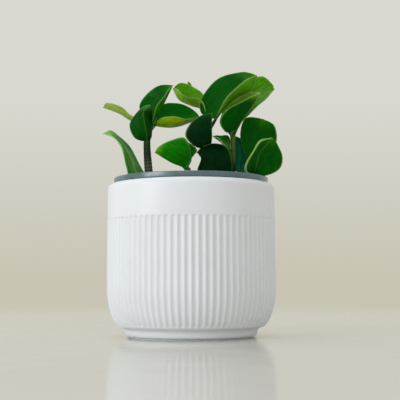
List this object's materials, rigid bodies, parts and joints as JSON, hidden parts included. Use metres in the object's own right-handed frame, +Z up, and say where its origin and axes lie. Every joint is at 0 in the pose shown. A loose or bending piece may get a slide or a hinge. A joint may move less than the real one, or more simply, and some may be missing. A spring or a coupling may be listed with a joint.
{
  "type": "potted zz plant",
  "caption": "Small glossy-leaved house plant on short stout stems, in potting mix in a liner that hangs in a fluted white pot with a plain band and a low plinth foot.",
  "frame": {"origin": "centre of the pot's flat foot, on the surface that it stands on", "axes": "+Z up along the pot's axis; the plant's best side faces -Y; +X is to the right of that view"},
  "size_m": [0.1388, 0.13, 0.2061],
  "materials": {
    "white_plastic": "satin white plastic",
    "liner_plastic": "satin blue-grey plastic",
    "potting_mix": "dark crumbly potting mix with pale grains",
    "foliage": "glossy dark green leaves with paler undersides, and grey-brown to olive stems"
  },
  "bodies": {
    "root": {"outer_pot": "white_plastic", "inner_pot": "liner_plastic", "soil": "potting_mix", "shoot_left": "foliage", "shoot_middle": "foliage", "shoot_centre": "foliage", "shoot_low": "foliage", "shoot_right": "foliage", "shoot_far_right": "foliage"}
  },
  "joints": []
}
